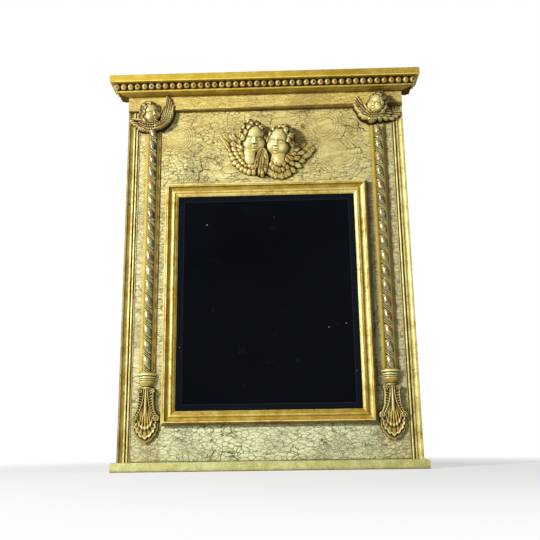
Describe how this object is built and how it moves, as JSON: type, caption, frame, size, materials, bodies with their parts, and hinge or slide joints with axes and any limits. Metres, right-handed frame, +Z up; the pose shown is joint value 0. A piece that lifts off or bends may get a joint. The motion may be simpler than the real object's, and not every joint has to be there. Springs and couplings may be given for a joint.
{
  "type": "trumeau mirror",
  "caption": "Tall wall mirror in a crackled gold case with a beaded cornice, twisted rope columns, carved winged heads and a bevelled plate.",
  "frame": {"origin": "middle of the underside of the bottom board, where the mirror stands", "axes": "+X to the viewer's right, +Y from the face towards the wall, +Z up"},
  "size_m": [0.72, 0.0675, 0.896],
  "materials": {
    "crackled_gold": "cream-gold paint with a dark crackle network, satin",
    "gilt_moulding": "burnished gold leaf, worn at the edges, dark in the coves",
    "gilt_board": "plain olive-gold paint, slightly worn",
    "gilt_carving": "antique gold over composition, dark wash in the recesses",
    "worn_gilt": "gold leaf rubbed to grey silver with red-brown ground showing",
    "plain_wood": "unfinished softwood",
    "hardboard": "brown hardboard, smooth side out",
    "silvered_glass": "silvered plate glass with a wide polished bevel",
    "zinc_steel": "zinc plated, satin",
    "bumper_rubber": "matt black rubber"
  },
  "bodies": {
    "case": {"panel_board": "crackled_gold", "stile_left": "plain_wood", "stile_right": "plain_wood", "rail_top": "plain_wood", "rail_bottom": "plain_wood", "frieze_board": "crackled_gold", "bottom_board": "gilt_board", "cap_board": "gilt_board", "crown_front": "gilt_moulding", "crown_left": "gilt_moulding", "crown_right": "gilt_moulding", "bead_strip_front": "worn_gilt", "bead_strip_left": "worn_gilt", "bead_strip_right": "worn_gilt", "side_moulding_left": "gilt_moulding", "side_moulding_right": "gilt_moulding", "pilaster_left": "crackled_gold", "pilaster_right": "crackled_gold", "rope_left": "worn_gilt", "rope_right": "worn_gilt", "corner_cherub_left": "gilt_carving", "corner_cherub_right": "gilt_carving", "cherub_pair": "gilt_carving", "corbel_cup_left": "gilt_carving", "corbel_cup_right": "gilt_carving", "corbel_drop_left": "gilt_carving", "corbel_drop_right": "gilt_carving", "mirror_frame_top": "gilt_moulding", "mirror_frame_bottom": "gilt_moulding", "mirror_frame_left": "gilt_moulding", "mirror_frame_right": "gilt_moulding", "mirror_plate": "silvered_glass", "backing_board": "hardboard", "turn_button_screws": "zinc_steel", "hanger_strap_left": "zinc_steel", "hanger_strap_right": "zinc_steel", "hanger_screws": "zinc_steel", "wall_bumpers": "bumper_rubber", "bottom_board_screws": "zinc_steel", "cap_screws": "zinc_steel"},
    "turn_button_1": {"turn_button_1": "zinc_steel"},
    "turn_button_2": {"turn_button_2": "zinc_steel"},
    "turn_button_3": {"turn_button_3": "zinc_steel"},
    "turn_button_4": {"turn_button_4": "zinc_steel"},
    "turn_button_5": {"turn_button_5": "zinc_steel"},
    "turn_button_6": {"turn_button_6": "zinc_steel"},
    "hanger_ring_left": {"hanger_ring_left": "zinc_steel"},
    "hanger_ring_right": {"hanger_ring_right": "zinc_steel"}
  },
  "joints": [
    {"name": "turn_button_1_turn", "type": "hinge", "parent": "case", "child": "turn_button_1", "pos_m": [-0.2195, 0.0162, 0.23725], "axis": [0, 1, 0], "continuous": true},
    {"name": "turn_button_2_turn", "type": "hinge", "parent": "case", "child": "turn_button_2", "pos_m": [-0.2195, 0.0162, 0.49275], "axis": [0, 1, 0], "continuous": true},
    {"name": "turn_button_3_turn", "type": "hinge", "parent": "case", "child": "turn_button_3", "pos_m": [0.2195, 0.0162, 0.49275], "axis": [0, 1, 0], "continuous": true},
    {"name": "turn_button_4_turn", "type": "hinge", "parent": "case", "child": "turn_button_4", "pos_m": [0.2195, 0.0162, 0.23725], "axis": [0, 1, 0], "continuous": true},
    {"name": "turn_button_5_turn", "type": "hinge", "parent": "case", "child": "turn_button_5", "pos_m": [0, 0.0162, 0.6255], "axis": [0, 1, 0], "continuous": true},
    {"name": "turn_button_6_turn", "type": "hinge", "parent": "case", "child": "turn_button_6", "pos_m": [0, 0.0162, 0.1045], "axis": [0, 1, 0], "continuous": true},
    {"name": "hanger_ring_left_swing", "type": "hinge", "parent": "case", "child": "hanger_ring_left", "pos_m": [-0.3085, 0.02565, 0.719], "axis": [1, 0, 0], "range_deg": [0, 180]},
    {"name": "hanger_ring_right_swing", "type": "hinge", "parent": "case", "child": "hanger_ring_right", "pos_m": [0.3085, 0.02565, 0.719], "axis": [1, 0, 0], "range_deg": [0, 180]}
  ]
}
